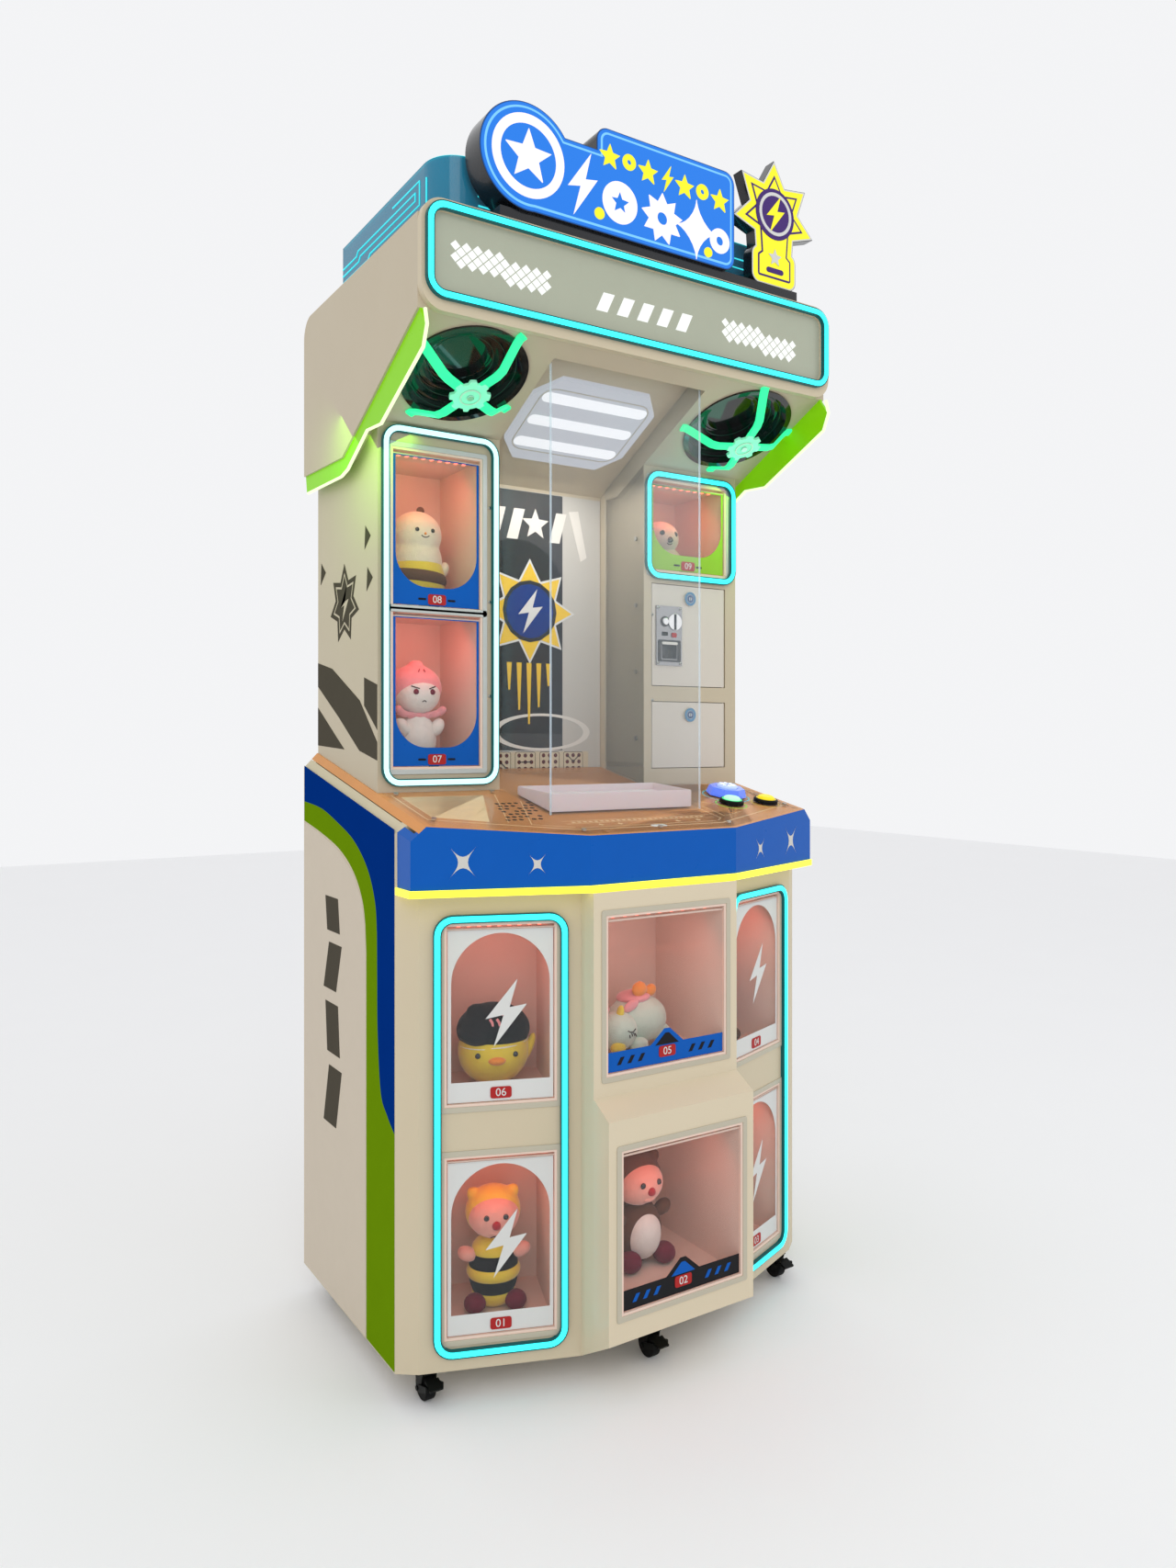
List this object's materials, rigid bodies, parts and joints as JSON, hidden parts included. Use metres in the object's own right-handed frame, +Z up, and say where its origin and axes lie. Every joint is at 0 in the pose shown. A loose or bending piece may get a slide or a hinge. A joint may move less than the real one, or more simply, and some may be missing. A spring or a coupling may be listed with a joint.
{
  "type": "ball-drop prize cabinet",
  "caption": "Upright coin-operated prize cabinet: sloping play deck under a clear cover, prize bays with hinged clear doors, lit header with sign, casters.",
  "frame": {"origin": "middle of the footprint on the floor", "axes": "+X to the player's right, -Y towards the player, +Z up"},
  "size_m": [0.9, 0.672, 2.265],
  "materials": {
    "cream_paint": "satin cream paint on board",
    "cream_cover": "satin cream",
    "steel_door": "fine satin cream powder coat",
    "deck_print": "glossy orange-brown print",
    "clear_acrylic": "clear",
    "fascia_blue": "satin blue",
    "yellow_light": "lit diffuser",
    "cyan_light": "lit diffuser",
    "white_light": "lit diffuser",
    "green_light": "lit diffuser",
    "lime_acrylic": "edge-lit",
    "blue_acrylic": "edge-lit, engraved lines",
    "board_print": "printed",
    "header_print": "printed light panel",
    "sign_blue": "lit sign face",
    "emblem_yellow": "lit sign face",
    "box_pink": "lit lining",
    "tray_white": "translucent",
    "black_plastic": "satin black",
    "black_gloss": "gloss black",
    "chrome": "polished",
    "screw_steel": "zinc",
    "board_metal": "bare",
    "button_white": "lit",
    "button_yellow": "lit",
    "button_clear": "faceted, lit",
    "wheel_black": "moulded",
    "fork_black": "black",
    "plush": "short pile"
  },
  "bodies": {
    "cabinet": {"base_cabinet": "cream_paint", "centre_column": "cream_cover", "play_deck": "deck_print", "deck_cover_sheet": "clear_acrylic", "fascia_band": "fascia_blue", "fascia_light_tube": "yellow_light", "light_frames": "cyan_light", "mid_cabinet": "cream_paint", "play_backboard": "board_print", "ball_tray": "tray_white", "play_cover": "clear_acrylic", "head_cabinet": "cream_paint", "header_front_panel": "header_print", "header_side_trims": "lime_acrylic", "ceiling_light": "white_light", "speaker_horns": "black_gloss", "speaker_spokes": "green_light", "roof_fence": "blue_acrylic", "roof_sign": "sign_blue", "sign_emblem": "emblem_yellow", "prize_boxes": "box_pink", "door_latches": "black_plastic", "prize_toys": "plush", "coin_box": "board_metal", "electronics": "board_metal", "cover_screws": "screw_steel", "caster_plates": "fork_black", "button_bodies": "black_plastic"},
    "prize_door_01": {"prize_door_01": "clear_acrylic"},
    "prize_door_02": {"prize_door_02": "clear_acrylic"},
    "prize_door_03": {"prize_door_03": "clear_acrylic"},
    "prize_door_04": {"prize_door_04": "clear_acrylic"},
    "prize_door_05": {"prize_door_05": "clear_acrylic"},
    "prize_door_06": {"prize_door_06": "clear_acrylic"},
    "prize_door_07": {"prize_door_07": "clear_acrylic"},
    "prize_door_08": {"prize_door_08": "clear_acrylic"},
    "prize_door_09": {"prize_door_09": "clear_acrylic"},
    "coin_door": {"coin_door": "steel_door", "coin_selector": "chrome"},
    "coin_door_lock": {"coin_door_lock": "chrome"},
    "cash_door": {"cash_door": "steel_door"},
    "cash_door_lock": {"cash_door_lock": "chrome"},
    "coin_return_button": {"coin_return_button": "chrome"},
    "rear_door": {"rear_door": "cream_paint"},
    "start_button": {"start_button": "button_white"},
    "select_button": {"select_button": "button_yellow"},
    "drop_button": {"drop_button": "button_clear"},
    "caster_front_left": {"caster_fork_front_left": "fork_black"},
    "wheel_front_left": {"caster_wheel_front_left": "wheel_black"},
    "brake_front_left": {"caster_brake_front_left": "fork_black"},
    "caster_front_right": {"caster_fork_front_right": "fork_black"},
    "wheel_front_right": {"caster_wheel_front_right": "wheel_black"},
    "brake_front_right": {"caster_brake_front_right": "fork_black"},
    "caster_front_middle": {"caster_fork_front_middle": "fork_black"},
    "wheel_front_middle": {"caster_wheel_front_middle": "wheel_black"},
    "brake_front_middle": {"caster_brake_front_middle": "fork_black"},
    "caster_rear_left": {"caster_fork_rear_left": "fork_black"},
    "wheel_rear_left": {"caster_wheel_rear_left": "wheel_black"},
    "caster_rear_right": {"caster_fork_rear_right": "fork_black"},
    "wheel_rear_right": {"caster_wheel_rear_right": "wheel_black"}
  },
  "joints": [
    {"name": "prize_door_01_hinge", "type": "hinge", "parent": "cabinet", "child": "prize_door_01", "pos_m": [-0.28571, -0.19592, 0.4035], "axis": [-0.9357, 0.3527, 0], "range_deg": [0, 80]},
    {"name": "prize_door_02_hinge", "type": "hinge", "parent": "cabinet", "child": "prize_door_02", "pos_m": [0, -0.3295, 0.4175], "axis": [-1, 0, 0], "range_deg": [0, 80]},
    {"name": "prize_door_03_hinge", "type": "hinge", "parent": "cabinet", "child": "prize_door_03", "pos_m": [0.28571, -0.19592, 0.4035], "axis": [-0.9357, -0.3527, 0], "range_deg": [0, 80]},
    {"name": "prize_door_04_hinge", "type": "hinge", "parent": "cabinet", "child": "prize_door_04", "pos_m": [0.28571, -0.19592, 0.7955], "axis": [-0.9357, -0.3527, 0], "range_deg": [0, 80]},
    {"name": "prize_door_05_hinge", "type": "hinge", "parent": "cabinet", "child": "prize_door_05", "pos_m": [0, -0.2835, 0.8055], "axis": [-1, 0, 0], "range_deg": [0, 80]},
    {"name": "prize_door_06_hinge", "type": "hinge", "parent": "cabinet", "child": "prize_door_06", "pos_m": [-0.28571, -0.19592, 0.7955], "axis": [-0.9357, 0.3527, 0], "range_deg": [0, 80]},
    {"name": "prize_door_07_hinge", "type": "hinge", "parent": "cabinet", "child": "prize_door_07", "pos_m": [-0.3015, 0.0265, 1.343], "axis": [-1, 0, 0], "range_deg": [0, 80]},
    {"name": "prize_door_08_hinge", "type": "hinge", "parent": "cabinet", "child": "prize_door_08", "pos_m": [-0.3015, 0.0265, 1.64], "axis": [-1, 0, 0], "range_deg": [0, 80]},
    {"name": "prize_door_09_hinge", "type": "hinge", "parent": "cabinet", "child": "prize_door_09", "pos_m": [0.2905, 0.0265, 1.6565], "axis": [-1, 0, 0], "range_deg": [0, 80]},
    {"name": "coin_door_hinge", "type": "hinge", "parent": "cabinet", "child": "coin_door", "pos_m": [0.386, 0.024, 1.3385], "axis": [0, 0, 1], "range_deg": [0, 100]},
    {"name": "coin_door_lock_turn", "type": "hinge", "parent": "coin_door", "child": "coin_door_lock", "pos_m": [0.291, 0.02, 1.419], "axis": [0, 1, 0], "range_deg": [0, 90]},
    {"name": "cash_door_hinge", "type": "hinge", "parent": "cabinet", "child": "cash_door", "pos_m": [0.386, 0.024, 1.127], "axis": [0, 0, 1], "range_deg": [0, 100]},
    {"name": "cash_door_lock_turn", "type": "hinge", "parent": "cash_door", "child": "cash_door_lock", "pos_m": [0.291, 0.02, 1.17], "axis": [0, 1, 0], "range_deg": [0, 90]},
    {"name": "coin_return_press", "type": "slide", "parent": "coin_door", "child": "coin_return_button", "axis": [0, 1, 0], "range_m": [0, 0.003], "stiffness_N_per_m": 400, "springref_m": -0.004},
    {"name": "rear_door_hinge", "type": "hinge", "parent": "cabinet", "child": "rear_door", "pos_m": [0.1625, 0.318, 0.5], "axis": [0, 0, -1], "range_deg": [0, 100]},
    {"name": "start_button_press", "type": "slide", "parent": "cabinet", "child": "start_button", "axis": [0, 0.2127, -0.9771], "range_m": [0, 0.003], "stiffness_N_per_m": 500, "springref_m": -0.004},
    {"name": "select_button_press", "type": "slide", "parent": "cabinet", "child": "select_button", "axis": [0, 0.2127, -0.9771], "range_m": [0, 0.003], "stiffness_N_per_m": 500, "springref_m": -0.004},
    {"name": "drop_button_press", "type": "slide", "parent": "cabinet", "child": "drop_button", "axis": [0, 0.2127, -0.9771], "range_m": [0, 0.003], "stiffness_N_per_m": 500, "springref_m": -0.004},
    {"name": "caster_swivel_front_left", "type": "hinge", "parent": "cabinet", "child": "caster_front_left", "pos_m": [-0.396, -0.124, 0.055], "axis": [0, 0, 1], "continuous": true},
    {"name": "caster_roll_front_left", "type": "hinge", "parent": "caster_front_left", "child": "wheel_front_left", "pos_m": [-0.396, -0.134, 0.0225], "axis": [1, 0, 0], "continuous": true},
    {"name": "caster_brake_front_left_press", "type": "hinge", "parent": "caster_front_left", "child": "brake_front_left", "pos_m": [-0.396, -0.134, 0.0225], "axis": [1, 0, 0], "range_deg": [0, 15]},
    {"name": "caster_swivel_front_right", "type": "hinge", "parent": "cabinet", "child": "caster_front_right", "pos_m": [0.396, -0.124, 0.055], "axis": [0, 0, 1], "continuous": true},
    {"name": "caster_roll_front_right", "type": "hinge", "parent": "caster_front_right", "child": "wheel_front_right", "pos_m": [0.396, -0.134, 0.0225], "axis": [1, 0, 0], "continuous": true},
    {"name": "caster_brake_front_right_press", "type": "hinge", "parent": "caster_front_right", "child": "brake_front_right", "pos_m": [0.396, -0.134, 0.0225], "axis": [1, 0, 0], "range_deg": [0, 15]},
    {"name": "caster_swivel_front_middle", "type": "hinge", "parent": "cabinet", "child": "caster_front_middle", "pos_m": [0, -0.223, 0.055], "axis": [0, 0, 1], "continuous": true},
    {"name": "caster_roll_front_middle", "type": "hinge", "parent": "caster_front_middle", "child": "wheel_front_middle", "pos_m": [0, -0.233, 0.0225], "axis": [1, 0, 0], "continuous": true},
    {"name": "caster_brake_front_middle_press", "type": "hinge", "parent": "caster_front_middle", "child": "brake_front_middle", "pos_m": [0, -0.233, 0.0225], "axis": [1, 0, 0], "range_deg": [0, 15]},
    {"name": "caster_swivel_rear_left", "type": "hinge", "parent": "cabinet", "child": "caster_rear_left", "pos_m": [-0.396, 0.276, 0.055], "axis": [0, 0, 1], "continuous": true},
    {"name": "caster_roll_rear_left", "type": "hinge", "parent": "caster_rear_left", "child": "wheel_rear_left", "pos_m": [-0.396, 0.266, 0.0225], "axis": [1, 0, 0], "continuous": true},
    {"name": "caster_swivel_rear_right", "type": "hinge", "parent": "cabinet", "child": "caster_rear_right", "pos_m": [0.396, 0.276, 0.055], "axis": [0, 0, 1], "continuous": true},
    {"name": "caster_roll_rear_right", "type": "hinge", "parent": "caster_rear_right", "child": "wheel_rear_right", "pos_m": [0.396, 0.266, 0.0225], "axis": [1, 0, 0], "continuous": true}
  ]
}
